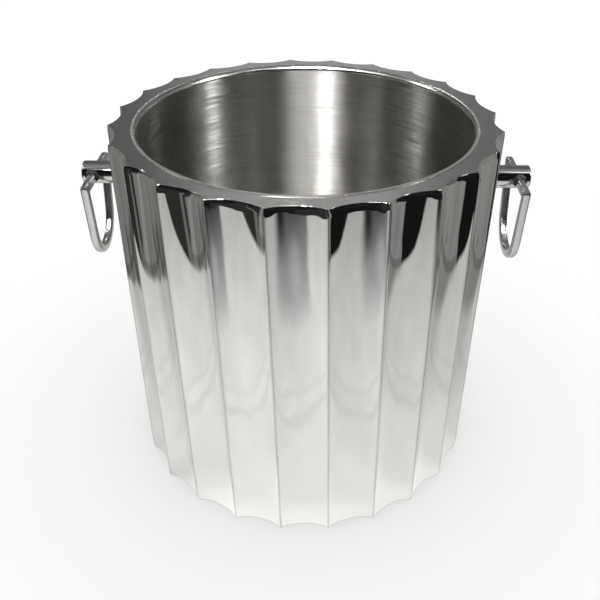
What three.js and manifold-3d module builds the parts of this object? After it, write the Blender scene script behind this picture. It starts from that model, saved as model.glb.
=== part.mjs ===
// Double-walled fluted ice bucket with two ring handles.
// Millimetres, +Z up. The origin is the centre of the foot, on the surface the bucket stands on.
// The two handles are at -X (left) and +X (right).
import * as THREE from 'three';
import { mergeVertices } from 'three/addons/utils/BufferGeometryUtils.js';
import Module from 'manifold-3d';

const wasm = await Module();
wasm.setup();

// ---- driving dimensions -------------------------------------------------------------------
const GAP = 0.3;                 // clearance between pieces that touch or are welded together
const FLUTES = 24;               // concave flutes round the outer wall
const RIM_RADIUS = 105;          // radius at the sharp ridges, at the rim
const FOOT_RADIUS = 102.4;       // radius at the ridges, at the foot
const FLUTE_DEPTH = 3.2;         // depth of a flute below the chord between its two ridges
const FLUTE_TWIST = 2.4;         // degrees that the ridges wander round from the rim to the foot
const FLUTE_PHASE = -1.0;        // degrees from a handle post round to the middle of its flute, at the rim
const RIM_HEIGHT = 203.4;        // height of the flat top of the rim
const SHELL_SHEET = 1.2;         // thickness of the outer wall and the base
const RIM_SHEET = 1.6;           // thickness of the flat rim ring
const ARC_STEPS = 4;             // straight facets in each flute
const WALL_STEPS = 4;            // facets up the height of the wall
const POT_SEGMENTS = 64;         // facets round the pot, its opening and the base's dish
const ROD_SEGMENTS = 24;         // facets round a screw, a washer or a hole
const POST_SEGMENTS = 32;

const LINER_MOUTH_RADIUS = 90.3; // outer radius of the inner pot under its lip
const LINER_FOOT_RADIUS = 86.5;  // outer radius of the inner pot where its bottom corner starts
const LINER_SHEET = 1.0;
const LINER_FLOOR = 14;          // height of the underside of the inner pot
const LINER_CORNER = 13;         // outer radius of the pot's bottom corner
const LIP_WIDTH = 2.6;           // how far the pot's lip reaches over the rim ring
const LIP_THICKNESS = 0.8;
const LIP_CHAMFER = LIP_THICKNESS / 3;
const POT_CORNER_STEPS = 5;

const BASE_FOOT_INNER = 84;      // inner radius of the flat standing band of the base
const BASE_RISE = 3;             // the middle of the base is pressed up by this much
const BASE_OVERLAP = 2;          // the pressed middle runs this far into the standing band

const POST_DIAMETER = 12.7;
const POST_END = 124;            // outer face of a handle post, from the bucket's axis
const POST_HEIGHT = 170.5;       // height of the post axis
const POST_CHAMFER = 0.8;
const POST_BLANK = 12;           // length of a post's bar inside the ridges before it is cut to the wall
const RING_CENTRE = 118;         // distance of the ring's plane from the bucket's axis
const RING_HOLE_DIAMETER = 8.4;  // cross hole that the ring's top bar turns in
const RING_SAG = 0.7;            // the ring's bar lies this far below the middle of its hole
const RING_AXIS_HEIGHT = POST_HEIGHT - RING_SAG;

const RING_BAR_WIDTH = 5.2;      // bar width in the plane of the ring
const RING_BAR_THICKNESS = 4.4;  // bar thickness across the plane of the ring
const RING_BAR_BEVEL = 0.5;
const RING_TOP_HALF = 24.2;      // outer half width at the upper corners
const RING_LEG_HALF = 19.4;      // outer half width where the legs end
const RING_LEG_END = -35;        // height of the legs' ends, from the turning axis
const RING_DROP = -48.8;         // lowest point of the ring, from the turning axis
const RING_CORNER = 3.2;         // outer radius of the upper corners
const RING_INNER_CORNER = 0.6;   // smallest radius of the upper corners, inside
const RING_CORNER_SLOPE = 0.15;  // how far a corner leans in, over its radius
const RING_BOW_PULL = 9;         // how far a leg's line is carried on into the bow
const RING_BOW_LEAN = 1.3;       // how far it leans in over that
const RING_BOW_WIDTH = 0.55;     // flatness of the bow's foot, over the legs' half width
const RING_STEPS = 8;

const SCREW_DIAMETER = 5;
const SCREW_LENGTH = 12;
const SCREW_HEAD_DIAMETER = 9;
const SCREW_HEAD_HEIGHT = 3;
const SCREW_HEAD_CHAMFER = 0.8;
const SCREW_SOCKET = 3;          // hexagon across corners
const SCREW_SOCKET_DEPTH = 1.8;
const WASHER_DIAMETER = 16;
const WASHER_THICKNESS = 1.6;
const OVERCUT = 1;               // a cutting solid stands out of the solid it cuts by this much

const CLEAR_HOLE = SCREW_DIAMETER + 2 * GAP;
const SHELL_TOP = RIM_HEIGHT - RIM_SHEET - GAP;
const HALF_FLUTE = Math.PI / FLUTES;

// ---- materials ----------------------------------------------------------------------------
function steel(colour, roughness) {
  return new THREE.MeshStandardMaterial({ color: colour, roughness, metalness: 1 });
}
const mirrorSteel = steel(0xe6e6e6, 0.08);
const rimSteel = steel(0xcfccc8, 0.15);
const brushedSteel = steel(0x9a9a9a, 0.35);
const plainSteel = steel(0xb4b4b4, 0.4);

// ---- solids -------------------------------------------------------------------------------
function toSolid(geometry) {
  const bare = geometry.index ? geometry.toNonIndexed() : geometry.clone();
  bare.deleteAttribute('normal');
  bare.deleteAttribute('uv');
  const merged = mergeVertices(bare, 1e-4);
  return new wasm.Manifold(new wasm.Mesh({
    numProp: 3,
    vertProperties: new Float32Array(merged.attributes.position.array),
    triVerts: new Uint32Array(merged.index.array),
  }));
}

function toGeometry(solid) {
  const mesh = solid.getMesh();
  const geometry = new THREE.BufferGeometry();
  geometry.setAttribute('position', new THREE.BufferAttribute(mesh.vertProperties, 3));
  geometry.setIndex(new THREE.BufferAttribute(mesh.triVerts, 1));
  geometry.computeVertexNormals();
  return geometry;
}

function turned(profile, segments) {
  const points = profile.map(([r, z]) => new THREE.Vector2(r, z));
  return new THREE.LatheGeometry(points, segments).rotateX(Math.PI / 2);
}

// A turned piece whose axis points outward along +X; profile points are [radius, x].
function turnedOutward(profile, segments) {
  return turned(profile, segments).rotateY(Math.PI / 2);
}

// A closed fluted outline: concave curves between ridges of the given radius. The middle of
// one flute falls on the X axis.
function flutedOutline(ridgeRadius, path) {
  const controlRadius = ridgeRadius * Math.cos(HALF_FLUTE) - 2 * FLUTE_DEPTH;
  const at = (radius, angle) => [radius * Math.cos(angle), radius * Math.sin(angle)];
  path.moveTo(...at(ridgeRadius, -HALF_FLUTE));
  for (let i = 0; i < FLUTES; i += 1) {
    const middle = 2 * HALF_FLUTE * i;
    path.quadraticCurveTo(...at(controlRadius, middle), ...at(ridgeRadius, middle + HALF_FLUTE));
  }
  return path;
}

// Lets an upright fluted solid taper and twist from the rim down to the foot, and turns it so
// that the flutes stand as they should to the handle posts.
function shapeWall(geometry) {
  const point = new THREE.Vector3();
  const position = geometry.attributes.position;
  const up = new THREE.Vector3(0, 0, 1);
  for (let i = 0; i < position.count; i += 1) {
    point.fromBufferAttribute(position, i);
    const fall = 1 - point.z / RIM_HEIGHT;
    const scale = 1 + fall * (FOOT_RADIUS / RIM_RADIUS - 1);
    const z = point.z;
    const turn = THREE.MathUtils.degToRad(FLUTE_PHASE + FLUTE_TWIST * fall);
    point.multiplyScalar(scale).applyAxisAngle(up, turn);
    position.setXYZ(i, point.x, point.y, z);
  }
  return geometry;
}

// A fluted slab or tube between two heights; inset is measured in from the outer wall.
function flutedSolid(inset, low, high, steps, hole) {
  const shape = flutedOutline(RIM_RADIUS - inset, new THREE.Shape());
  if (hole) {
    shape.holes.push(hole);
  }
  const options = { depth: high - low, steps, bevelEnabled: false, curveSegments: ARC_STEPS };
  return shapeWall(new THREE.ExtrudeGeometry(shape, options).translate(0, 0, low));
}

function circlePath(radius) {
  const points = [];
  for (let i = 0; i < POT_SEGMENTS; i += 1) {
    const angle = (2 * Math.PI * i) / POT_SEGMENTS;
    points.push(new THREE.Vector2(radius * Math.cos(angle), radius * Math.sin(angle)));
  }
  return new THREE.Path(points);
}

function rod(diameter, from, to) {
  const radius = diameter / 2;
  return turnedOutward([[0, from], [radius, from], [radius, to], [0, to]], ROD_SEGMENTS)
    .translate(0, 0, POST_HEIGHT);
}

// ---- bucket -------------------------------------------------------------------------------
function outerShell() {
  const inner = flutedOutline(RIM_RADIUS - SHELL_SHEET, new THREE.Path());
  const wall = toSolid(flutedSolid(0, 0, SHELL_TOP, WALL_STEPS, inner));
  const screwHoles = toSolid(rod(CLEAR_HOLE, -RIM_RADIUS, RIM_RADIUS));
  return toGeometry(wall.subtract(screwHoles));
}

function rimRing() {
  const shape = circlePath(LINER_MOUTH_RADIUS + GAP);
  return flutedSolid(0, RIM_HEIGHT - RIM_SHEET, RIM_HEIGHT, 1, shape);
}

// The pot's rounded bottom corner, from the floor out and up to the wall.
function potCorner(radius) {
  const points = [];
  for (let i = 0; i <= POT_CORNER_STEPS; i += 1) {
    const angle = (Math.PI / 2) * (i / POT_CORNER_STEPS);
    points.push([
      LINER_FOOT_RADIUS - LINER_CORNER + radius * Math.sin(angle),
      LINER_FLOOR + LINER_CORNER - radius * Math.cos(angle),
    ]);
  }
  return points;
}

// The pot is drawn in one piece; its lip lies over the inner edge of the rim ring.
function innerLiner() {
  const lipLow = RIM_HEIGHT + GAP;
  const lipHigh = lipLow + LIP_THICKNESS;
  const lipOuter = LINER_MOUTH_RADIUS + LIP_WIDTH;
  const mouth = LINER_MOUTH_RADIUS - LINER_SHEET;
  return turned([
    [0, LINER_FLOOR],
    ...potCorner(LINER_CORNER),
    [LINER_MOUTH_RADIUS, lipLow],
    [lipOuter, lipLow],
    [lipOuter, lipHigh - LIP_CHAMFER],
    [lipOuter - LIP_CHAMFER, lipHigh],
    [mouth + LIP_CHAMFER, lipHigh],
    [mouth, lipHigh - LIP_CHAMFER],
    ...potCorner(LINER_CORNER - LINER_SHEET).reverse(),
    [0, LINER_FLOOR + LINER_SHEET],
  ], POT_SEGMENTS);
}

// A fluted plate fills the shell's foot; it stands on a flat band and its middle is pressed up.
function basePlate() {
  const bandInner = circlePath(BASE_FOOT_INNER + BASE_OVERLAP / 2);
  const band = flutedSolid(SHELL_SHEET + GAP, 0, SHELL_SHEET, 1, bandInner);
  const step = SHELL_SHEET / 2;
  const dish = turned([
    [0, BASE_RISE],
    [BASE_FOOT_INNER - BASE_RISE, BASE_RISE],
    [BASE_FOOT_INNER, 0],
    [BASE_FOOT_INNER + BASE_OVERLAP, 0],
    [BASE_FOOT_INNER + BASE_OVERLAP, SHELL_SHEET],
    [BASE_FOOT_INNER + step, SHELL_SHEET],
    [BASE_FOOT_INNER - BASE_RISE + step, BASE_RISE + SHELL_SHEET],
    [0, BASE_RISE + SHELL_SHEET],
  ], POT_SEGMENTS);
  return toGeometry(toSolid(band).add(toSolid(dish)));
}

// ---- one handle, made on the +X side --------------------------------------------------------
function handlePost() {
  const radius = POST_DIAMETER / 2;
  const root = RIM_RADIUS - POST_BLANK;
  const body = turnedOutward([
    [0, root],
    [radius, root],
    [radius, POST_END - POST_CHAMFER],
    [radius - POST_CHAMFER, POST_END],
    [0, POST_END],
  ], POST_SEGMENTS).translate(0, 0, POST_HEIGHT);
  const crossHole = new THREE.CylinderGeometry(
    RING_HOLE_DIAMETER / 2, RING_HOLE_DIAMETER / 2, 2 * POST_DIAMETER, ROD_SEGMENTS,
  ).translate(RING_CENTRE, 0, POST_HEIGHT);
  const wall = flutedSolid(-GAP, 0, SHELL_TOP, WALL_STEPS);
  const screwHole = rod(CLEAR_HOLE, root - OVERCUT, screwTip() + OVERCUT);
  return toGeometry(
    toSolid(body)
      .subtract(toSolid(wall))
      .subtract(toSolid(crossHole))
      .subtract(toSolid(screwHole)),
  );
}

// Innermost reach of the wall's inner face at the post: the middle of the flute.
function valleyInside() {
  const fall = 1 - POST_HEIGHT / RIM_HEIGHT;
  const scale = 1 + fall * (FOOT_RADIUS / RIM_RADIUS - 1);
  return ((RIM_RADIUS - SHELL_SHEET) * Math.cos(HALF_FLUTE) - FLUTE_DEPTH) * scale;
}

function screwHeadFace() {
  return valleyInside() - WASHER_THICKNESS - 2 * GAP;
}

function screwTip() {
  return screwHeadFace() + SCREW_LENGTH;
}

// A round washer whose outer face is formed to the flute.
function backingWasher() {
  const inner = valleyInside() - WASHER_THICKNESS - GAP;
  const blank = toSolid(rod(WASHER_DIAMETER, inner, RIM_RADIUS));
  const cavity = toSolid(flutedSolid(SHELL_SHEET + GAP, 0, SHELL_TOP, WALL_STEPS));
  const hole = toSolid(rod(CLEAR_HOLE, inner - OVERCUT, RIM_RADIUS + OVERCUT));
  return toGeometry(blank.intersect(cavity).subtract(hole));
}

function postScrew() {
  const head = SCREW_HEAD_DIAMETER / 2;
  const face = screwHeadFace();
  const blank = turnedOutward([
    [0, face - SCREW_HEAD_HEIGHT],
    [head - SCREW_HEAD_CHAMFER, face - SCREW_HEAD_HEIGHT],
    [head, face - SCREW_HEAD_HEIGHT + SCREW_HEAD_CHAMFER],
    [head, face],
    [SCREW_DIAMETER / 2, face],
    [SCREW_DIAMETER / 2, screwTip()],
    [0, screwTip()],
  ], ROD_SEGMENTS).translate(0, 0, POST_HEIGHT);
  const socketLow = face - SCREW_HEAD_HEIGHT - OVERCUT;
  const socketHigh = face - SCREW_HEAD_HEIGHT + SCREW_SOCKET_DEPTH;
  const socket = turnedOutward([
    [0, socketLow], [SCREW_SOCKET / 2, socketLow], [SCREW_SOCKET / 2, socketHigh], [0, socketHigh],
  ], 6).translate(0, 0, POST_HEIGHT);
  return toGeometry(toSolid(blank).subtract(toSolid(socket)));
}

// The ring's outline, drawn round its turning axis; inset 0 is the outside of the bar.
function ringOutline(inset, path) {
  const top = RING_BAR_WIDTH / 2 - inset;
  const topHalf = RING_TOP_HALF - inset;
  const legHalf = RING_LEG_HALF - inset;
  const drop = RING_DROP + inset;
  const corner = Math.max(RING_CORNER - inset, RING_INNER_CORNER);
  const shoulder = topHalf - corner * RING_CORNER_SLOPE;
  const pull = [legHalf - RING_BOW_LEAN, RING_LEG_END - RING_BOW_PULL];
  const bow = legHalf * RING_BOW_WIDTH;
  path.moveTo(topHalf - corner, top);
  path.lineTo(corner - topHalf, top);
  path.quadraticCurveTo(-topHalf, top, -shoulder, top - corner);
  path.lineTo(-legHalf, RING_LEG_END);
  path.bezierCurveTo(-pull[0], pull[1], -bow, drop, 0, drop);
  path.bezierCurveTo(bow, drop, ...pull, legHalf, RING_LEG_END);
  path.lineTo(shoulder, top - corner);
  path.quadraticCurveTo(topHalf, top, topHalf - corner, top);
  return path;
}

function ringHandle() {
  const shape = ringOutline(0, new THREE.Shape());
  shape.holes.push(ringOutline(RING_BAR_WIDTH, new THREE.Path()));
  const ring = new THREE.ExtrudeGeometry(shape, {
    depth: RING_BAR_THICKNESS - 2 * RING_BAR_BEVEL,
    bevelThickness: RING_BAR_BEVEL,
    bevelSize: RING_BAR_BEVEL,
    bevelOffset: -RING_BAR_BEVEL,
    bevelSegments: 1,
    curveSegments: RING_STEPS,
  });
  return ring
    .translate(0, 0, RING_BAR_BEVEL - RING_BAR_THICKNESS / 2)
    .rotateX(Math.PI / 2)
    .rotateZ(Math.PI / 2)
    .translate(RING_CENTRE, 0, RING_AXIS_HEIGHT);
}

// ---- assembly -----------------------------------------------------------------------------
const bucket = new THREE.Group();

function addPiece(name, geometry, material) {
  const mesh = new THREE.Mesh(geometry, material);
  mesh.name = name;
  bucket.add(mesh);
  return mesh;
}

addPiece('outer_shell', outerShell(), mirrorSteel);
addPiece('rim_ring', rimRing(), rimSteel);
addPiece('inner_liner', innerLiner(), brushedSteel);
addPiece('base_plate', basePlate(), plainSteel);

// The wall repeats every half turn, so the left handle is the right one turned by 180 degrees.
for (const [side, turn] of [['right', 0], ['left', Math.PI]]) {
  const pieces = [
    [`handle_post_${side}`, handlePost(), mirrorSteel],
    [`ring_handle_${side}`, ringHandle(), mirrorSteel],
    [`backing_washer_${side}`, backingWasher(), plainSteel],
    [`post_screw_${side}`, postScrew(), plainSteel],
  ];
  for (const [name, geometry, material] of pieces) {
    addPiece(name, geometry, material).rotation.z = turn;
  }
}

export default bucket;
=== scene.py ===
"""Fluted, double-walled steel ice bucket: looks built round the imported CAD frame. Metres, +Z up."""

import math

import bmesh
import bpy
import numpy as np
from mathutils import Matrix, Vector, noise


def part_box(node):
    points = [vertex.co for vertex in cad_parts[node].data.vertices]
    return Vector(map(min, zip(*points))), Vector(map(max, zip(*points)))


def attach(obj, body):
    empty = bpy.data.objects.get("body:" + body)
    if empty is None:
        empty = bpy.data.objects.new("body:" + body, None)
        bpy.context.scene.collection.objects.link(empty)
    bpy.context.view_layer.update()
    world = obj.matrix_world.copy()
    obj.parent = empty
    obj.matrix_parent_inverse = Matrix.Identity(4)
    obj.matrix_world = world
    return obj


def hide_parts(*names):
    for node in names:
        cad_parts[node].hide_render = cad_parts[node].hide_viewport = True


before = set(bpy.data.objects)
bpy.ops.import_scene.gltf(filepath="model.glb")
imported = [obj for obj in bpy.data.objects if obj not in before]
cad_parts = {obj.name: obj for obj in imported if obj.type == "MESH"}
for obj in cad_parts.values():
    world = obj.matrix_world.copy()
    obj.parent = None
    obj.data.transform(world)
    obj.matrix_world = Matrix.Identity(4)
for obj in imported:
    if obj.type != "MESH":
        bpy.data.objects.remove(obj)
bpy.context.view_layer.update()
MM = 0.001

# ---- sizes, worked out from the frame ------------------------------------------------------
FLUTES = 24
HALF_FLUTE = math.pi / FLUTES
rim_low, rim_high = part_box("rim_ring")
liner_low, liner_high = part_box("inner_liner")
base_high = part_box("base_plate")[1]

FLUTE_PHASE = math.radians(-1.0)                   # from a post to the middle of its flute, at the rim
NEAREST_RIDGE = HALF_FLUTE + FLUTE_PHASE           # from the Y axis, which the rim's box is measured along
RIM_RADIUS = rim_high.y / math.cos(NEAREST_RIDGE)
RIM_TOP = rim_high.z
FOOT_SCALE = 0.975                                 # ridge radius at the foot over that at the rim
FLUTE_DEPTH = 3.2 * MM
FLUTE_TWIST = math.radians(2.4)                    # the ridges drift round by this much from rim to foot
SHEET = base_high.z / 3.5                          # 1.2 mm
RIDGE_ROUND = 0.3 * MM                             # the ridges are sharp, but not knife edges
PINCH = 0.36 * MM                                  # the wall is drawn out by this much at a ridge
PINCH_WIDTH = 1.2 * MM
RIM_EDGE = 0.06 * MM                               # rounding of the rim's outer edge
LIP_WIDTH = 2.6 * MM                               # how far the pot's lip lies over the rim
LINER_MOUTH = liner_high.y - LIP_WIDTH             # outer radius of the pot under its lip
LINER_SHEET = 1.0 * MM
LINER_FOOT = 86.5 * MM                             # outer radius of the pot where its corner starts
LINER_CORNER = 13 * MM
LIP_ROUND = 3.0 * MM
LIP_CREST = RIM_TOP + 0.35 * MM
POLISHED_LIP = 2.5 * MM                            # the polish ends this far below the rim
STANDING_BAND = 84 * MM                            # inner radius of the base's flat band
SEAM = 0.04 * MM                                   # hairline between polished, welded pieces
CURL = 5.2 * MM                                    # the wall leans in over about this height under the rim
CURL_INSET = 0.85 * MM
FOOT_CURL = 4.5 * MM                               # and over about this height at the foot
FOOT_INSET = 0.8 * MM

# the ring handles, whose heights are measured from their turning axis, and their posts
RING_WIDTH = 5.2 * MM
RING_TOP_HALF = 24.2 * MM
RING_LEG_HALF = 19.9 * MM
RING_LEG_END = -31 * MM                            # the legs are straight down to here
RING_LEG_PULL = 10 * MM                            # how far they carry on before they bend in
RING_DROP = -48.8 * MM
RING_CORNER = 3.2 * MM
BAR_SQUARENESS = 3.4                               # 2 would be an oval bar, more is nearer to a square one
POST_EASE = 0.9 * MM                               # rounding of a post's end
POST_HOLE = 3.6 * MM                               # radius of a post's cross hole


# ---- mesh helpers --------------------------------------------------------------------------
def make_object(name, vertices, faces):
    mesh = bpy.data.meshes.new(name)
    mesh.from_pydata([tuple(v) for v in vertices], [], faces)
    mesh.validate()
    mesh.update()
    obj = bpy.data.objects.new(name, mesh)
    bpy.context.scene.collection.objects.link(obj)
    face_outward(mesh)
    mesh.shade_smooth()
    mesh.set_sharp_from_angle(angle=math.radians(38))
    return obj


def face_outward(mesh):
    work = bmesh.new()
    work.from_mesh(mesh)
    bmesh.ops.recalc_face_normals(work, faces=work.faces)
    work.to_mesh(mesh)
    work.free()


def loft(name, rows, close_rows=False, poles=False):
    """Skins equal rings of points. close_rows joins the last ring to the first; poles caps
    both ends on single points, which are the middles of the first and last rings."""
    rows = [np.asarray(row, float) for row in rows]
    count = len(rows[0])
    vertices = [point for row in rows for point in row]
    faces = []
    pairs = list(zip(range(len(rows) - 1), range(1, len(rows))))
    if close_rows:
        pairs.append((len(rows) - 1, 0))
    for low, high in pairs:
        for i in range(count):
            j = (i + 1) % count
            faces.append((low * count + i, low * count + j, high * count + j, high * count + i))
    if poles:
        for row, flip in ((0, True), (len(rows) - 1, False)):
            vertices.append(rows[row].mean(axis=0))
            tip = len(vertices) - 1
            for i in range(count):
                a, b = row * count + i, row * count + (i + 1) % count
                faces.append((tip, b, a) if flip else (tip, a, b))
    return make_object(name, vertices, faces)


def weigh_normals(obj):
    modifier = obj.modifiers.new("weighted_normals", "WEIGHTED_NORMAL")
    modifier.keep_sharp = True
    modifier.weight = 80


def smooth_step(x):
    x = min(max(x, 0.0), 1.0)
    return x * x * (3 - 2 * x)


def ring_points(angles, radii, height):
    """Points round the Z axis at one height."""
    heights = np.full(len(angles), height)
    return np.column_stack([radii * np.cos(angles), radii * np.sin(angles), heights])


def circle(radius, height):
    return ring_points(np.linspace(0, 2 * math.pi, 240, endpoint=False), radius, height)


def arc(centre, radius, start, end, steps):
    """Points of an arc in a (radius, height) profile, angles in degrees from outward."""
    turns = [math.radians(start + (end - start) * k / steps) for k in range(steps + 1)]
    return [(centre[0] + radius * math.cos(t), centre[1] + radius * math.sin(t)) for t in turns]


def curve(a, b, c, d, steps):
    """Points along a cubic curve in a plane, from a to d."""
    points = []
    for k in range(steps + 1):
        t = k / steps
        s = 1 - t
        weights = (s ** 3, 3 * s * s * t, 3 * s * t * t, t ** 3)
        points.append(tuple(sum(w * p[i] for w, p in zip(weights, (a, b, c, d))) for i in (0, 1)))
    return points


# ---- the fluted outline --------------------------------------------------------------------
def flute_section(ridge_radius, depth):
    """Angles and radii of one flute, centred on angle 0, from the ridge before it to just
    short of the ridge after it. The ridges are small arcs."""
    half_chord = ridge_radius * math.sin(HALF_FLUTE)
    chord_at = ridge_radius * math.cos(HALF_FLUTE)
    side_slope = math.atan(2 * depth / half_chord + PINCH / PINCH_WIDTH)
    half_angle = math.pi / 2 - side_slope - HALF_FLUTE
    arc_centre = ridge_radius - RIDGE_ROUND / math.sin(half_angle)
    tangent = RIDGE_ROUND / math.tan(half_angle) * math.cos(side_slope)
    points = []
    arc_half = math.pi / 2 - half_angle
    for k in range(5):
        turn = arc_half * (k - 2) / 2
        along = -HALF_FLUTE + turn
        x = arc_centre * math.cos(HALF_FLUTE) + RIDGE_ROUND * math.cos(along)
        y = -arc_centre * math.sin(HALF_FLUTE) + RIDGE_ROUND * math.sin(along)
        points.append((x, y))
    reach = half_chord - tangent
    steps = 30
    for k in range(1, steps):
        across = -math.cos(math.pi * k / steps) * 0.75 + (2 * k / steps - 1) * 0.25
        y = across * reach
        pinch = PINCH * (1 - math.exp(-(half_chord - abs(y)) / PINCH_WIDTH))
        points.append((chord_at - depth * (1 - (y / half_chord) ** 2) - pinch, y))
    return [(math.atan2(y, x), math.hypot(x, y)) for x, y in points]


def wander(angle, height, size, seed):
    """Smooth noise on the wall, about -1 to 1, with features of the given size."""
    point = Vector((math.cos(angle) * RIM_RADIUS, math.sin(angle) * RIM_RADIUS, height))
    return noise.noise(point / size + Vector((seed * 7.3, seed * 3.1, seed * 5.7)))


def fluted_ring(height, inset, uneven=0.0):
    """One closed fluted ring of points at a height, inset from the outer wall. uneven is 1
    where the sheet's dents show, and 0 on hidden rings."""
    fall = 1 - height / RIM_TOP
    scale = 1 + fall * (FOOT_SCALE - 1)
    points = []
    for flute in range(FLUTES):
        depth = FLUTE_DEPTH * (1 + uneven * 0.10 * noise.noise(Vector((flute * 1.7, 0.3, 0.9))))
        for angle, radius in flute_section(RIM_RADIUS - inset, depth):
            across = abs(angle) / HALF_FLUTE
            turn = angle + 2 * HALF_FLUTE * flute + FLUTE_PHASE + FLUTE_TWIST * fall
            # broad swells, ripples that run down the wall, and smaller dents near the foot
            dent = wander(turn, height, 45 * MM, 1) * 0.20 * MM
            dent += wander(turn, height * 0.4, 13 * MM, 2) * 0.045 * MM
            dent += wander(turn, height, 11 * MM, 3) * 0.10 * MM * math.exp(-height / (16 * MM))
            radius = radius * scale + uneven * dent * (1 - 0.5 * across ** 4)
            points.append((radius * math.cos(turn), radius * math.sin(turn), height))
    return points


def angles_and_radii(ring):
    """The points of a ring in polar form."""
    ring = np.array(ring)
    return np.arctan2(ring[:, 1], ring[:, 0]), np.hypot(ring[:, 0], ring[:, 1])


# ---- pieces --------------------------------------------------------------------------------
def curl(angle, height):
    """How far the wall leans in at a height: the hammered edge starts at uneven depths,
    reaches lower down beside the ridges, and is slighter round the two posts."""
    across = ((angle - FLUTE_PHASE) / HALF_FLUTE + 1) % 2 - 1
    beside = math.exp(-((abs(across) - 0.85) / 0.12) ** 2)
    uneven = 0.45 * wander(angle, 0, 11 * MM, 4) + 0.15 * wander(angle, 0, 2.6 * MM, 5)
    start = CURL * max(0.28, 0.60 + uneven + 0.35 * beside)
    lean = max(0.0, 1 - (RIM_TOP - height) / start)
    near_post = smooth_step((abs(math.cos(angle)) - 0.80) / 0.14)
    return CURL_INSET * (1 - 0.6 * near_post) * lean ** 1.5


def foot_curl(angle, height):
    """How far the wall turns in at the foot, from uneven heights."""
    start = FOOT_CURL * max(0.7, 1.5 + 1.8 * wander(angle, 0, 9 * MM, 6))
    return FOOT_INSET * max(0.0, 1 - height / start) ** 2


def wall_heights(top):
    """Close together at the foot and through the lean under the rim."""
    foot = [height * MM for height in (0, 0.2, 0.5, 0.9, 1.4, 2.0, 2.7, 3.5, 4.5, 5.7, 7.2)]
    body = list(np.linspace(9 * MM, top - 1.45 * CURL, 48))
    leaning = [top - 1.4 * CURL * (1 - k / 22) for k in range(23)]
    return foot + body + leaning


# painted shade: the wall's colour is darkened along the ridges and at the foot's edge
def painted_ridge_and_foot_shade(point):
    """1 where nothing is painted; less along the ridges and at the foot's edge, where painted
    shade darkens the colour: dark lines along the ridges, with patchy stronger marks near the foot, and a
    painted shadow line at the foot's edge."""
    x, y, height = point
    turn = math.atan2(y, x) - FLUTE_PHASE - FLUTE_TWIST * (1 - height / RIM_TOP)
    across = (turn / HALF_FLUTE + 1) % 2 - 1
    from_ridge = (1 - abs(across)) * HALF_FLUTE * RIM_RADIUS
    strength = 0.24 + 0.20 * height / RIM_TOP + 0.10 * wander(math.atan2(y, x), height, 30 * MM, 8)
    strength += 0.5 * math.exp(-height / (16 * MM)) * max(0, wander(math.atan2(y, x), height, 9 * MM, 9))
    ridge = strength * math.exp(-(from_ridge / (0.6 * MM)) ** 2)
    foot = 0.35 * math.exp(-(height / (0.5 * MM)) ** 2)
    return 1 - max(ridge, foot)


def build_wall():
    top = rim_low.z
    rows = []
    for height in wall_heights(top):
        angles, radii = angles_and_radii(fluted_ring(height, 0.0, uneven=1.0))
        radii -= [curl(angle, height) + foot_curl(angle, height) for angle in angles]
        rows.append(ring_points(angles, radii, height))
    inner_top = fluted_ring(top, SHEET + CURL_INSET)
    inner_foot = fluted_ring(0, SHEET + FOOT_INSET)
    rows += [np.array(inner_top), np.array(inner_foot)]
    wall = loft("fluted_wall", rows, close_rows=True)
    # painted shade per point: 1 where nothing is painted, less along the ridges and at the foot's edge
    painted_shade_factor = wall.data.attributes.new("painted_shade_factor", "FLOAT", "POINT")
    painted_shade_factor.data.foreach_set("value", [painted_ridge_and_foot_shade(point) for row in rows for point in row])
    weigh_normals(wall)
    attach(wall, "bucket")
    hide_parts("outer_shell")
    return wall


def build_rim():
    """The flat ring: its inner edge is round, its outer edge follows the flutes."""
    inner = LINER_MOUTH + SEAM

    def ring(height, outer_inset, share):
        """A ring part of the way from the inner edge, at share 0, to the fluted edge."""
        angles, radii = angles_and_radii(fluted_ring(height, outer_inset, uneven=1.0))
        radii -= [curl(angle, height) for angle in angles]
        return ring_points(angles, inner + (radii - inner) * share, height)

    rows = [ring(RIM_TOP, RIM_EDGE, share) for share in (0, 0.08, 0.3, 0.55, 0.8, 0.94, 0.985, 1)]
    for k in range(1, 6):
        turn = math.pi / 2 * k / 5
        rows.append(ring(RIM_TOP - RIM_EDGE * (1 - math.cos(turn)), RIM_EDGE * (1 - math.sin(turn)), 1))
    side = RIM_TOP - RIM_EDGE - rim_low.z
    rows += [ring(rim_low.z + side * share, 0, 1) for share in (0.7, 0.35, 0)]
    rows.append(ring(rim_low.z, 0, 0))
    rim = loft("rim", rows, close_rows=True)
    weigh_normals(rim)
    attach(rim, "bucket")
    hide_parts("rim_ring")
    return rim


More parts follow.
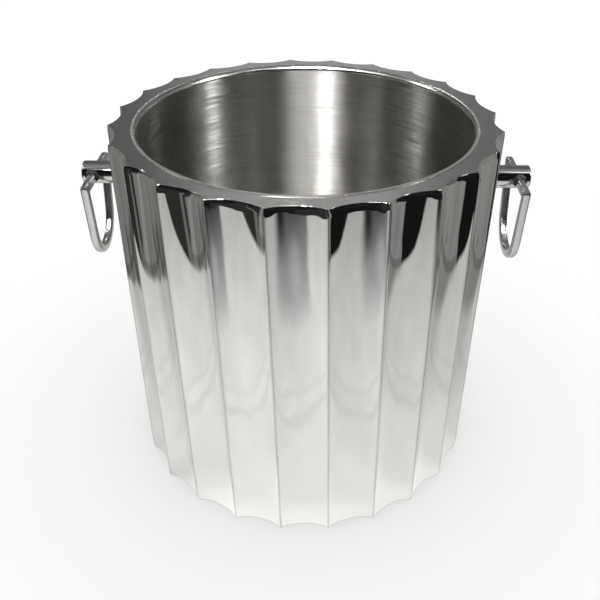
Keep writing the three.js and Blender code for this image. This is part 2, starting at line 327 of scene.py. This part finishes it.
def build_liner():
    """The drawn pot, with a rounded lip that rolls over the rim ring."""
    mouth_inner = LINER_MOUTH - LINER_SHEET
    foot_inner = LINER_FOOT - LINER_SHEET
    corner_middle = LINER_FOOT - LINER_CORNER
    lip_outer = liner_high.y
    lip_under = RIM_TOP + SEAM
    floor = liner_low.z
    floor_radii = (20 * MM, 50 * MM, 70 * MM)
    low = floor + LINER_CORNER
    high = LIP_CREST - LIP_ROUND
    profile = [(radius, floor) for radius in floor_radii]
    profile += arc((corner_middle, low), LINER_CORNER, -90, 0, 10)
    profile += [(LINER_FOOT + (LINER_MOUTH - LINER_FOOT) * s, low + (RIM_TOP - low) * s)
                for s in (0.25, 0.5, 0.75, 0.97)]
    profile += [(LINER_MOUTH - SEAM, lip_under), (lip_outer - 0.2 * MM, lip_under)]
    profile += [(lip_outer - lift * 0.9 * MM, lip_under + (LIP_CREST - lip_under) * smooth_step(lift))
                for lift in (0.25, 0.5, 0.75, 1.0)]
    profile += arc((mouth_inner + LIP_ROUND, high), LIP_ROUND, 90, 180, 12)
    steps = 40
    profile += [(mouth_inner + (foot_inner - mouth_inner) * s, high + (low - high) * s)
                for s in (k / steps for k in range(1, steps))]
    profile += arc((corner_middle, low), LINER_CORNER - LINER_SHEET, 0, -90, 14)
    profile += [(radius, floor + LINER_SHEET) for radius in reversed(floor_radii)]
    liner = loft("inner_pot", [circle(r, z) for r, z in profile], poles=True)
    weigh_normals(liner)
    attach(liner, "bucket")
    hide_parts("inner_liner")
    return liner


def build_base():
    """The foot's plate: a flat standing band, and a middle pressed up."""
    rise = base_high.z - SHEET
    angles, edge = angles_and_radii(fluted_ring(0, SHEET + FOOT_INSET + SEAM))
    under = [(30 * MM, rise), (70 * MM, rise)]
    under += arc((STANDING_BAND - 4 * MM, rise - 1 * MM), 1 * MM, 90, 45, 4)
    under += [(STANDING_BAND - 0.8 * MM, 0.25 * MM), (STANDING_BAND + 0.2 * MM, 0.03 * MM)]
    under += [(STANDING_BAND + 1 * MM, 0)]
    rows = [ring_points(angles, radius, height) for radius, height in under]
    rows += [ring_points(angles, edge, 0), ring_points(angles, edge, SHEET)]
    rows += [ring_points(angles, radius, height + SHEET) for radius, height in reversed(under)]
    base = loft("base", rows, poles=True)
    weigh_normals(base)
    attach(base, "bucket")
    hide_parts("base_plate")
    return base


def ring_outline(inset, top_z):
    """Closed outline of the D-shaped ring, (y, z), inset from its outer edge."""
    top = RING_WIDTH / 2 - inset
    top_half = RING_TOP_HALF - inset
    leg_half = RING_LEG_HALF - inset
    leg_end = RING_LEG_END + 0.2 * inset
    pull = RING_LEG_PULL - 0.45 * inset
    drop = RING_DROP + inset
    corner = max(RING_CORNER - inset * 0.85, 0.5 * MM)
    shoulder = top_half - corner * 0.15
    half = [(0, top), (top_half * 0.5, top), (top_half - corner * 1.4, top)]
    half += curve((top_half - corner, top), (top_half, top), (top_half, top), (shoulder, top - corner), 6)
    half += [(shoulder + (leg_half - shoulder) * s, top - corner + (leg_end - top + corner) * s)
             for s in (0.05, 0.3, 0.6, 0.9)]
    leg_pull = (leg_half - 0.13 * pull, leg_end - pull)
    half += curve((leg_half, leg_end), leg_pull, (leg_half * 0.52, drop), (0, drop), 18)
    mirrored = [(-y, z) for y, z in reversed(half[1:-1])]
    return [(y, z + top_z) for y, z in half + mirrored]


def build_ring(side):
    """A closed ring of flat bar with softened edges, hanging from the post's cross hole."""
    low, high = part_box(f"ring_handle_{side}")
    plane = (low.x + high.x) / 2
    pivot = high.z - RING_WIDTH / 2
    half_thick = (high.x - low.x) / 2
    section = []
    for k in range(36):
        turn = 2 * math.pi * (k + 0.5) / 36
        swell_x = math.copysign(abs(math.cos(turn)) ** (2 / BAR_SQUARENESS), math.cos(turn))
        swell_y = math.copysign(abs(math.sin(turn)) ** (2 / BAR_SQUARENESS), math.sin(turn))
        section.append((RING_WIDTH / 2 * (1 + swell_x), half_thick * swell_y))
    rows = []
    outer = ring_outline(0, pivot)
    inner = ring_outline(RING_WIDTH, pivot)
    for inset, across in section:
        share = 1 - inset / RING_WIDTH
        row = []
        for (oy, oz), (iy, iz) in zip(outer, inner):
            row.append((plane + across, iy + (oy - iy) * share, iz + (oz - iz) * share))
        rows.append(row)
    ring = loft(f"handle_ring_{side}", rows, close_rows=True)
    weigh_normals(ring)
    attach(ring, f"{side}_ring")
    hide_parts(f"ring_handle_{side}")
    return ring


def revolve_x(name, profile, height, count=96):
    """A turned piece along X; profile points are (x, radius)."""
    angles = np.linspace(0, 2 * math.pi, count, endpoint=False)
    rows = []
    for x, radius in profile:
        across = radius * np.cos(angles)
        up = height + radius * np.sin(angles)
        rows.append(np.column_stack([np.full(count, x), across, up]))
    return loft(name, rows, poles=True)


def build_post(side):
    """A turned post with a softened end and a cross hole with eased edges."""
    sign = 1 if side == "right" else -1
    low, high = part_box(f"handle_post_{side}")
    ring_low, ring_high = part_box(f"ring_handle_{side}")
    height = (low.z + high.z) / 2
    radius = (high.z - low.z) / 2
    end = high.x if sign > 0 else -low.x
    root = (low.x if sign > 0 else -high.x) - 0.2 * MM
    shoulder = end - POST_EASE
    profile = [(root, radius)]
    profile += [(root + (shoulder - root) * s, radius) for s in (0.05, 0.35, 0.65, 0.95)]
    profile += [(shoulder + POST_EASE * math.sin(t), radius - POST_EASE + POST_EASE * math.cos(t))
                for t in (math.pi / 2 * k / 8 for k in range(9))]
    profile += [(end, radius * s) for s in (0.7, 0.3)]
    post = revolve_x(f"post_{side}", [(sign * x, r) for x, r in profile], height)
    plane = (ring_low.x + ring_high.x) / 2
    flare = [(9 * MM, POST_HOLE + 1.2 * MM), (radius, POST_HOLE + 0.3 * MM), (radius - 2.2 * MM, POST_HOLE)]
    cut_profile = [(-x, r) for x, r in flare] + flare[::-1]
    cutter = revolve_x("post_cutter", cut_profile, 0, 64)
    cutter.matrix_world = Matrix.Translation((plane, 0, height)) @ Matrix.Rotation(math.pi / 2, 4, "Z")
    cut = post.modifiers.new("cross_hole", "BOOLEAN")
    cut.object = cutter
    cut.solver = "EXACT"
    bpy.context.view_layer.update()
    carved = bpy.data.meshes.new_from_object(post.evaluated_get(bpy.context.evaluated_depsgraph_get()))
    post.modifiers.clear()
    post.data = carved
    bpy.data.objects.remove(cutter)
    carved.shade_smooth()
    carved.set_sharp_from_angle(angle=math.radians(32))
    weigh_normals(post)
    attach(post, "bucket")
    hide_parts(f"handle_post_{side}")
    return post


# ---- materials -----------------------------------------------------------------------------
def empty_material(name):
    material = bpy.data.materials.new(name)
    material.use_nodes = True
    tree = material.node_tree
    tree.nodes.clear()
    return material, tree, tree.nodes.new("ShaderNodeOutputMaterial")


def new_material(name):
    material, tree, output = empty_material(name)
    shader = tree.nodes.new("ShaderNodeBsdfPrincipled")
    tree.links.new(shader.outputs["BSDF"], output.inputs["Surface"])
    return material, tree, shader


def add_node(tree, kind, **values):
    """A value that is a socket is linked; any other sets an input or a property of the node."""
    node = tree.nodes.new(kind)
    for key, value in values.items():
        if isinstance(value, bpy.types.NodeSocket):
            tree.links.new(value, node.inputs[key])
        elif key in node.inputs:
            node.inputs[key].default_value = value
        else:
            setattr(node, key, value)
    return node


def math_node(tree, operation, *values, clamp=False):
    node = tree.nodes.new("ShaderNodeMath")
    node.operation = operation
    node.use_clamp = clamp
    for socket, value in zip(node.inputs, values):
        if isinstance(value, bpy.types.NodeSocket):
            tree.links.new(value, socket)
        else:
            socket.default_value = value
    return node.outputs[0]


def product(tree, *values):
    result = values[0]
    for value in values[1:]:
        result = math_node(tree, "MULTIPLY", result, value)
    return result


def total(tree, *values):
    result = values[0]
    for value in values[1:]:
        result = math_node(tree, "ADD", result, value)
    return result


def difference(tree, value, taken):
    return math_node(tree, "SUBTRACT", value, taken)


def scaled_vector(tree, vector, scale):
    node = add_node(tree, "ShaderNodeVectorMath", operation="SCALE", Vector=vector, Scale=scale)
    return node.outputs["Vector"]


def vector_sum(tree, first, second):
    node = add_node(tree, "ShaderNodeVectorMath", operation="ADD", Vector=first)
    tree.links.new(second, node.inputs[1])
    return node.outputs["Vector"]


def noise_at(tree, place, scale, detail, rough=0.5):
    texture = add_node(tree, "ShaderNodeTexNoise", Vector=place, Scale=scale, Detail=detail)
    texture.inputs["Roughness"].default_value = rough
    return texture.outputs["Fac"]


def stretched_noise(tree, scale, detail, rough):
    """Noise on object coordinates, scaled separately along X, Y and Z (features per metre)."""
    place = tree.nodes.new("ShaderNodeTexCoord").outputs["Object"]
    mapping = add_node(tree, "ShaderNodeMapping", Vector=place, Scale=scale)
    return noise_at(tree, mapping.outputs["Vector"], 1.0, detail, rough)


def length_of(tree, x, y):
    return math_node(tree, "SQRT", total(tree, product(tree, x, x), product(tree, y, y)))


def map_range(tree, value, low, high, to_low, to_high, smooth=False):
    node = add_node(tree, "ShaderNodeMapRange", Value=value)
    node.interpolation_type = "SMOOTHSTEP" if smooth else "LINEAR"
    for key, number in zip(("From Min", "From Max", "To Min", "To Max"), (low, high, to_low, to_high)):
        node.inputs[key].default_value = number
    return node.outputs["Result"]


def polished_steel(name, colour, rough_low, rough_high, drag, drag_strength, painted_shade_factor=False):
    """Mirror steel: soft clouds in the gloss and very faint drag lines from the polishing."""
    material, tree, shader = new_material(name)
    # the wall's painted shade darkens the base colour along the ridges and at the foot's edge
    if painted_shade_factor:
        unshaded_share = add_node(tree, "ShaderNodeAttribute", attribute_name="painted_shade_factor").outputs["Fac"]
        tinted = add_node(tree, "ShaderNodeCombineColor")
        for key, share in zip(("Red", "Green", "Blue"), colour):
            tree.links.new(product(tree, unshaded_share, share), tinted.inputs[key])
        tree.links.new(tinted.outputs["Color"], shader.inputs["Base Color"])
    else:
        shader.inputs["Base Color"].default_value = (*colour, 1)
    shader.inputs["Metallic"].default_value = 1
    haze = stretched_noise(tree, (60, 60, 25), 4, 0.6)
    rough = map_range(tree, haze, 0.35, 0.75, rough_low, rough_high, smooth=True)
    tree.links.new(rough, shader.inputs["Roughness"])
    lines = stretched_noise(tree, drag, 3, 0.65)
    bump = add_node(tree, "ShaderNodeBump", Height=lines, Strength=drag_strength, Distance=0.0001)
    tree.links.new(bump.outputs["Normal"], shader.inputs["Normal"])
    return material


def brushed_steel():
    """Brushed round the pot: fine level grain, which draws each light out up and down."""
    material, tree, shader = new_material("brushed_round")
    shader.inputs["Metallic"].default_value = 1
    shader.inputs["Anisotropic"].default_value = 1.0
    shader.inputs["Anisotropic Rotation"].default_value = 0.25
    tangent = add_node(tree, "ShaderNodeTangent", direction_type="RADIAL", axis="Z")
    tree.links.new(tangent.outputs["Tangent"], shader.inputs["Tangent"])
    grain = stretched_noise(tree, (22, 22, 3600), 3, 0.6)
    streaks = stretched_noise(tree, (12, 12, 800), 4, 0.7)
    broad = stretched_noise(tree, (9, 9, 160), 2, 0.5)
    tone = map_range(tree, streaks, 0.3, 0.7, 0.43, 0.51)
    colour = add_node(tree, "ShaderNodeCombineColor")
    for key, tint in (("Red", 1.0), ("Green", 0.985), ("Blue", 0.94)):
        tree.links.new(product(tree, tone, tint), colour.inputs[key])
    tree.links.new(colour.outputs["Color"], shader.inputs["Base Color"])
    rough = map_range(tree, broad, 0.3, 0.7, 0.30, 0.34)
    tree.links.new(rough, shader.inputs["Roughness"])
    # each brush line tips the surface up or down, and very little sideways
    grain_tip = product(tree, total(tree, grain, -0.5), 1.8)
    streak_tip = product(tree, total(tree, streaks, -0.5), 0.1)
    upward = add_node(tree, "ShaderNodeCombineXYZ", Z=total(tree, grain_tip, streak_tip))
    sideways = scaled_vector(tree, tangent.outputs["Tangent"], streak_tip)
    smooth_normal = tree.nodes.new("ShaderNodeNewGeometry").outputs["Normal"]
    tipped = vector_sum(tree, vector_sum(tree, smooth_normal, sideways), upward.outputs["Vector"])
    unit_normal = add_node(tree, "ShaderNodeVectorMath", operation="NORMALIZE", Vector=tipped)
    tree.links.new(unit_normal.outputs["Vector"], shader.inputs["Normal"])
    return material


def plain_steel():
    """Mill-finish sheet and turned fasteners."""
    material, tree, shader = new_material("mill_finish")
    shader.inputs["Metallic"].default_value = 1
    clouds = stretched_noise(tree, (90, 90, 90), 5, 0.6)
    tone = map_range(tree, clouds, 0.3, 0.7, 0.48, 0.60)
    colour = add_node(tree, "ShaderNodeCombineColor", Red=tone, Green=tone, Blue=tone)
    tree.links.new(colour.outputs["Color"], shader.inputs["Base Color"])
    rough = map_range(tree, clouds, 0.3, 0.7, 0.28, 0.42)
    tree.links.new(rough, shader.inputs["Roughness"])
    rolled = stretched_noise(tree, (12, 1500, 1500), 4, 0.6)
    bump = add_node(tree, "ShaderNodeBump", Height=rolled, Strength=0.15, Distance=0.0001)
    tree.links.new(bump.outputs["Normal"], shader.inputs["Normal"])
    return material


def paint(obj, material):
    obj.data.materials.clear()
    obj.data.materials.append(material)


def polish_lip(liner, material):
    """The pot's lip and the first millimetres under it are polished, though duller than the rim."""
    liner.data.materials.append(material)
    for face in liner.data.polygons:
        if face.center.z > RIM_TOP - POLISHED_LIP:
            face.material_index = 1


# ---- studio --------------------------------------------------------------------------------
STUDIO_TURN = math.radians(1.1)      # the camera, floor and lights stand this far round from the front
# the camera's numbers are fitted to the photo's ridges and outlines
CAMERA_BACK = 3.696 * RIM_RADIUS
CAMERA_UP = 3.389 * RIM_RADIUS
CAMERA_PITCH = math.radians(31.03)   # how far it looks down
CAMERA_YAW = math.radians(-0.41)
CAMERA_LENS = 46.0                   # on a sensor 36 wide
CAMERA_SHIFT = -0.0867
STAGE_SIZE = 12                      # metres


def turn_studio(point):
    return Matrix.Rotation(STUDIO_TURN, 3, "Z") @ Vector(point)


def build_camera():
    data = bpy.data.cameras.new("camera")
    data.sensor_width = 36
    data.lens = CAMERA_LENS
    data.shift_y = CAMERA_SHIFT
    camera = bpy.data.objects.new("camera", data)
    bpy.context.scene.collection.objects.link(camera)
    camera.location = turn_studio((0, -CAMERA_BACK, CAMERA_UP))
    level = math.cos(CAMERA_PITCH)
    sight = (math.sin(CAMERA_YAW) * level, math.cos(CAMERA_YAW) * level, -math.sin(CAMERA_PITCH))
    forward = turn_studio(sight)
    camera.rotation_mode = "QUATERNION"
    camera.rotation_quaternion = forward.to_track_quat("-Z", "Y")
    data.clip_start = 0.01
    data.clip_end = 50
    bpy.context.scene.camera = camera


def staged_plane(name, height):
    """A level square that is part of the stage, turned with the studio."""
    half = STAGE_SIZE / 2
    signs = ((-1, -1), (1, -1), (1, 1), (-1, 1))
    corners = [turn_studio((half * a, half * b, height)) for a, b in signs]
    obj = make_object(name, corners, [(0, 1, 2, 3)])
    return obj


def build_floor():
    """The pale floor that the camera sees."""
    floor = staged_plane("floor", 0)
    material, tree, output = empty_material("pale_floor")
    surface = tree.nodes.new("ShaderNodeBsdfDiffuse")
    surface.inputs["Color"].default_value = (0.93, 0.93, 0.93, 1)
    tree.links.new(surface.outputs["BSDF"], output.inputs["Surface"])
    paint(floor, material)
    floor.visible_glossy = False


def studio_axes(tree, vector):
    """A vector along the bucket's axes, given along the studio's."""
    node = add_node(tree, "ShaderNodeVectorRotate", rotation_type="Z_AXIS", Vector=vector)
    node.inputs["Angle"].default_value = -STUDIO_TURN
    return node.outputs["Vector"]


def spot(tree, x, y, centre, reach):
    """1 at the centre, falling to 0 at the given reach along each axis."""
    dx = product(tree, total(tree, x, -centre[0]), 1 / reach[0])
    dy = product(tree, total(tree, y, -centre[1]), 1 / reach[1])
    return map_range(tree, length_of(tree, dx, dy), 0.15, 1.0, 1, 0, smooth=True)


def sheet_shape(tree, x, y, ripple):
    """1 on the pale sheet: straight at the left, right and front, cut off aslant at the rear."""
    left_edge = map_range(tree, y, -0.35, -0.05, -2.78, -2.62)
    right_edge = map_range(tree, y, -2.4, -1.5, 2.66, 2.87)
    front_edge = map_range(tree, x, -2.2, -1.0, -4.9, -4.4)
    past_front = total(tree, difference(tree, y, front_edge), ripple)
    rear_left = total(tree, product(tree, x, -1.0), product(tree, y, 0.967), ripple)
    rear_right = total(tree, x, product(tree, y, 0.5), ripple)
    return product(tree, map_range(tree, difference(tree, x, left_edge), -0.05, 0.05, 0, 1),
                   map_range(tree, difference(tree, x, right_edge), -0.05, 0.05, 1, 0),
                   map_range(tree, past_front, -0.06, 0.06, 0, 1),
                   map_range(tree, rear_left, 2.73, 3.03, 1, 0, smooth=True),
                   map_range(tree, rear_right, 2.05, 2.5, 1, 0, smooth=True))


def front_shade(tree, x, y, ripple):
    """How far the sheet is shaded in front, in a patch with slanting sides."""
    depth = total(tree, map_range(tree, y, -3.0, -2.5, 0.36, 0),
                  map_range(tree, y, -4.4, -3.0, 0.54, 0),
                  product(tree, spot(tree, x, y, (-0.05, -3.5), (0.6, 0.6)), -0.22),
                  product(tree, spot(tree, x, y, (1.0, -3.9), (0.6, 0.6)), 0.2))
    left_side = total(tree, x, 0.85, product(tree, total(tree, y, 3.1), -0.3), ripple)
    right_side = total(tree, x, -1.15, product(tree, total(tree, y, 3.4), 0.42), ripple)
    return product(tree, depth, map_range(tree, left_side, -0.15, 0.15, 0, 1, smooth=True),
                   map_range(tree, right_side, -0.3, 0.3, 1, 0, smooth=True))


def sheet_tone(tree, x, y, ripple, clouds):
    """The sheet's level before its front shade: dimmer outward, with two faint rings of painted shadow
    round the foot, at the soft edges of the bucket's shadow, that the wall shows low down."""
    far = length_of(tree, x, y)
    # painted shadow: two faint dark rings at the soft edges of the bucket's shadow on the sheet
    ring_at = total(tree, far, product(tree, ripple, 1.4))
    first_shadow_edge = math_node(tree, "ABSOLUTE", total(tree, ring_at, -1.70))
    second_shadow_edge = math_node(tree, "ABSOLUTE", total(tree, ring_at, -1.92))
    shadow_edge_rings = total(tree, map_range(tree, first_shadow_edge, 0.02, 0.08, -0.10, 0, smooth=True),
                        map_range(tree, second_shadow_edge, 0.01, 0.06, -0.07, 0, smooth=True))
    patchy = map_range(tree, clouds, 0.35, 0.60, 0.3, 1)
    # painted light on the sheet near the foot, which turns into painted shade at the left side
    glow = total(tree, map_range(tree, far, 1.0, 1.10, 0.16, 0), map_range(tree, far, 1.2, 1.7, 0.10, 0))
    glow_and_shade_side = map_range(tree, x, -0.75, -0.45, -0.6, 1)
    return product(tree, map_range(tree, x, -0.8, 3.0, 0.93, 0.53),
                   map_range(tree, x, -2.8, -0.9, 0.70, 1),
                   map_range(tree, y, -3.9, -1.9, 0.66, 1),
                   map_range(tree, y, -0.75, 0.15, 1, 0.72, smooth=True),
                   total(tree, product(tree, glow, glow_and_shade_side), 1.0),
                   total(tree, product(tree, shadow_edge_rings, patchy), 1.0),
                   map_range(tree, clouds, 0.3, 0.7, 0.96, 1.04))


def grey_tone(tree, x, y, side):
    """Streaked grey ground beside and behind the sheet, with a dark line along each side."""
    turn = product(tree, math_node(tree, "ARCTAN2", x, y), 9.0)
    outward = product(tree, length_of(tree, x, y), 0.35)
    streak_at = add_node(tree, "ShaderNodeCombineXYZ", X=turn, Y=outward)
    streaks = noise_at(tree, streak_at.outputs["Vector"], 1.0, 4.0)
    side_line = math_node(tree, "ABSOLUTE", total(tree, side, -2.95))
    pale_strip = product(tree, map_range(tree, y, -1.40, -1.30, 0, 1, smooth=True),
                         map_range(tree, y, -0.98, -0.88, 1, 0, smooth=True),
                         map_range(tree, x, -1.0, -0.9, 0.45, 0))
    smear = product(tree, spot(tree, x, y, (-3.25, 0.12), (0.75, 0.28)), -0.5)
    rear_shade = product(tree, map_range(tree, x, -3.45, -3.25, 0, -0.5),
                         map_range(tree, y, 0.4, 0.6, 0, 1),
                         map_range(tree, x, -1.0, 0.0, 1, 0))
    dark_spot = product(tree, spot(tree, x, y, (3.28, 0.2), (0.14, 0.16)), -0.4)
    return product(tree, map_range(tree, x, -1.0, 1.0, 0.20, 0.24),
                   map_range(tree, streaks, 0.3, 0.7, 0.84, 1.16),
                   map_range(tree, side_line, 0.05, 0.12, 0.65, 1, smooth=True),
                   total(tree, pale_strip, smear, rear_shade, dark_spot, 1.0))


def black_tone(tree, x, y):
    """Nearly black ground in front, with one dim wedge across it at the left."""
    beside = math_node(tree, "ABSOLUTE", total(tree, y, 2.4, product(tree, total(tree, x, 4.1), -0.67)))
    wedge = product(tree, map_range(tree, beside, 0.12, 0.26, 0.12, 0, smooth=True),
                    map_range(tree, x, -2.0, -1.8, 1, 0))
    return total(tree, map_range(tree, x, -1.0, 1.0, 0.028, 0.008), wedge)


def blend(tree, share, inside, outside):
    """The inside value where share is 1, the outside value where it is 0."""
    return total(tree, product(tree, share, inside), product(tree, difference(tree, 1.0, share), outside))


def build_reflected_floor():
    """What the steel reflects below the horizon: a glowing plane, painted with the light of a pale sheet
    under the bucket, with painted shade on it, and of grey and black ground past its edges. Only
    reflections see it. Lengths are in rim radii, with y pointing away from the camera."""
    ground = staged_plane("reflected_floor", -0.2 * MM)
    material, tree, output = empty_material("reflected_floor")
    place = tree.nodes.new("ShaderNodeTexCoord").outputs["Object"]
    turned = studio_axes(tree, place)
    split = add_node(tree, "ShaderNodeSeparateXYZ", Vector=scaled_vector(tree, turned, 1 / RIM_RADIUS))
    x, y = split.outputs["X"], split.outputs["Y"]
    flat = add_node(tree, "ShaderNodeCombineXYZ", X=x, Y=y).outputs["Vector"]
    ripple = map_range(tree, noise_at(tree, flat, 1.3, 2.0), 0.3, 0.7, -0.06, 0.06)
    clouds = noise_at(tree, flat, 2.2, 2.0)

    shade = front_shade(tree, x, y, ripple)
    lit = math_node(tree, "SUBTRACT", 1.0, shade, clamp=True)
    sheet = product(tree, sheet_tone(tree, x, y, ripple, clouds), lit)
    side = math_node(tree, "ABSOLUTE", x)
    black_from = total(tree, map_range(tree, x, -1.0, 1.0, -1.50, -1.30),
                       map_range(tree, side, 3.4, 5.4, 0, -0.9))
    past_black = map_range(tree, difference(tree, y, black_from), -0.06, 0.06, 0, 1, smooth=True)
    bare = blend(tree, past_black, grey_tone(tree, x, y, side), black_tone(tree, x, y))
    tone = blend(tree, sheet_shape(tree, x, y, ripple), sheet, bare)
    # the light is slightly warm, less so where the sheet is shaded
    colour = add_node(tree, "ShaderNodeCombineColor", Red=0.99, Green=1.0,
                      Blue=map_range(tree, shade, 0.0, 0.4, 0.955, 1.0))
    light = add_node(tree, "ShaderNodeEmission", Color=colour.outputs["Color"], Strength=tone)
    tree.links.new(light.outputs["Emission"], output.inputs["Surface"])
    paint(ground, material)
    for ray in ("camera", "diffuse", "transmission", "volume_scatter", "shadow"):
        setattr(ground, f"visible_{ray}", False)


# Each soft box: its low and high edge in sweep round the pot (the tangent of where the pot
# shows it), how softly each edge fades, its low and high elevation in degrees, whether it
# hangs behind the bucket, and its level.
SOFT_BOXES = (
    (0.115, 0.175, 0.01, 0.01, 45, 67, False, 170.0),
    (-0.09, 0.06, 0.04, 0.01, 43, 66, False, 23.0),
    (-0.40, -0.31, 0.02, 0.02, 50, 75, False, 1.0),
    (-0.29, -0.19, 0.02, 0.02, 60, 68, False, 1.1),
    (0.25, 0.56, 0.02, 0.05, 43, 62, False, 1.8),
    (-0.83, -0.76, 0.01, 0.06, 19, 43, False, 20.0),
    (1.11, 1.18, 0.02, 0.02, 30, 42, True, 31.0),
)
POT_SIGHT = 0.88     # sweep is x / (y - this), for a direction of length 1
BOX_FADE = 2         # degrees over which a box fades at its top and bottom
WHITE_LEVEL = 1.4    # of the surroundings that light the floor


def soft_box(tree, sweep, elevation, y, box):
    """The light of one soft box: nothing outside it."""
    sweep_low, sweep_high, fade_low, fade_high, low, high, behind, level = box
    across = product(tree, map_range(tree, sweep, sweep_low - fade_low, sweep_low, 0, 1, smooth=True),
                     map_range(tree, sweep, sweep_high, sweep_high + fade_high, 1, 0, smooth=True))
    tall = product(tree, map_range(tree, elevation, low - BOX_FADE, low, 0, 1, smooth=True),
                   map_range(tree, elevation, high, high + BOX_FADE, 1, 0, smooth=True))
    half = map_range(tree, y, -0.02, 0.02, 0, 1) if behind else map_range(tree, y, -0.02, 0.02, 1, 0)
    return product(tree, across, tall, half, level)


def degrees_node(tree, operation, *values):
    """An inverse trigonometric node's result in degrees."""
    return product(tree, math_node(tree, operation, *values), 180 / math.pi)


def room_light(tree, x, y, z):
    """The dim room: a pale ceiling, dimmer past the top, and a window low down behind."""
    # degrees over the room: 0 at the front horizon, 90 overhead, 180 at the rear horizon
    over = degrees_node(tree, "ARCTAN2", z, product(tree, y, -1.0))
    from_rear = math_node(tree, "ABSOLUTE", degrees_node(tree, "ARCTAN2", x, y))
    window = total(tree, map_range(tree, from_rear, 4, 14, 0.25, 0, smooth=True),
                   map_range(tree, x, -0.2, 0.2, -0.01, 0.04))
    return total(tree, map_range(tree, over, 50, 64, 0.01, 0.32, smooth=True),
                 map_range(tree, over, 98, 112, 0, -0.17, smooth=True),
                 product(tree, map_range(tree, over, 135, 147, 0, 1, smooth=True), window))


def build_world():
    """White surroundings for the floor; the steel reflects a dim room with soft boxes."""
    world = bpy.data.worlds.new("studio")
    bpy.context.scene.world = world
    world.use_nodes = True
    tree = world.node_tree
    tree.nodes.clear()
    output = tree.nodes.new("ShaderNodeOutputWorld")
    direction = tree.nodes.new("ShaderNodeTexCoord").outputs["Generated"]
    split = add_node(tree, "ShaderNodeSeparateXYZ", Vector=studio_axes(tree, direction))
    x, y, z = split.outputs["X"], split.outputs["Y"], split.outputs["Z"]
    elevation = degrees_node(tree, "ARCSINE", z)
    sweep = math_node(tree, "DIVIDE", x, total(tree, y, -POT_SIGHT))
    boxes = [soft_box(tree, sweep, elevation, y, box) for box in SOFT_BOXES]
    light = total(tree, room_light(tree, x, y, z), *boxes)
    reflected = add_node(tree, "ShaderNodeBackground", Strength=light)
    plain = add_node(tree, "ShaderNodeBackground", Strength=WHITE_LEVEL)
    path = tree.nodes.new("ShaderNodeLightPath")
    mix = tree.nodes.new("ShaderNodeMixShader")
    # light that the floor has scattered sees the white surroundings, reflected or not
    unscattered = math_node(tree, "LESS_THAN", path.outputs["Diffuse Depth"], 0.5)
    tree.links.new(product(tree, path.outputs["Is Glossy Ray"], unscattered), mix.inputs["Fac"])
    tree.links.new(plain.outputs["Background"], mix.inputs[1])
    tree.links.new(reflected.outputs["Background"], mix.inputs[2])
    tree.links.new(mix.outputs["Shader"], output.inputs["Surface"])


# ---- assembly ------------------------------------------------------------------------------
CLEAR_STEEL = (0.83, 0.83, 0.825)
WARM_STEEL = (0.80, 0.785, 0.765)
HANDLE_STEEL = (0.76, 0.76, 0.76)
# the wall's finish carries the painted shade along its ridges and at its foot
wall_finish = polished_steel("mirror_polish", CLEAR_STEEL, 0.015, 0.05, (1400, 1400, 9), 0.05, painted_shade_factor=True)
rim_finish = polished_steel("rim_polish", WARM_STEEL, 0.08, 0.14, (220, 220, 220), 0.03)
lip_finish = polished_steel("lip_polish", WARM_STEEL, 0.20, 0.26, (220, 220, 220), 0.03)
post_finish = polished_steel("post_polish", HANDLE_STEEL, 0.02, 0.05, (300, 300, 300), 0.10)
ring_finish = polished_steel("ring_polish", HANDLE_STEEL, 0.20, 0.34, (500, 500, 500), 0.25)
brushed = brushed_steel()
mill = plain_steel()

paint(build_wall(), wall_finish)
paint(build_rim(), rim_finish)
liner = build_liner()
paint(liner, brushed)
polish_lip(liner, lip_finish)
paint(build_base(), mill)
for side in ("left", "right"):
    paint(build_post(side), post_finish)
    paint(build_ring(side), ring_finish)
    for node in (f"backing_washer_{side}", f"post_screw_{side}"):
        paint(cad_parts[node], mill)

build_camera()
build_floor()
build_reflected_floor()
build_world()
bpy.context.scene.view_settings.view_transform = "Standard"
bpy.context.scene.view_settings.look = "None"
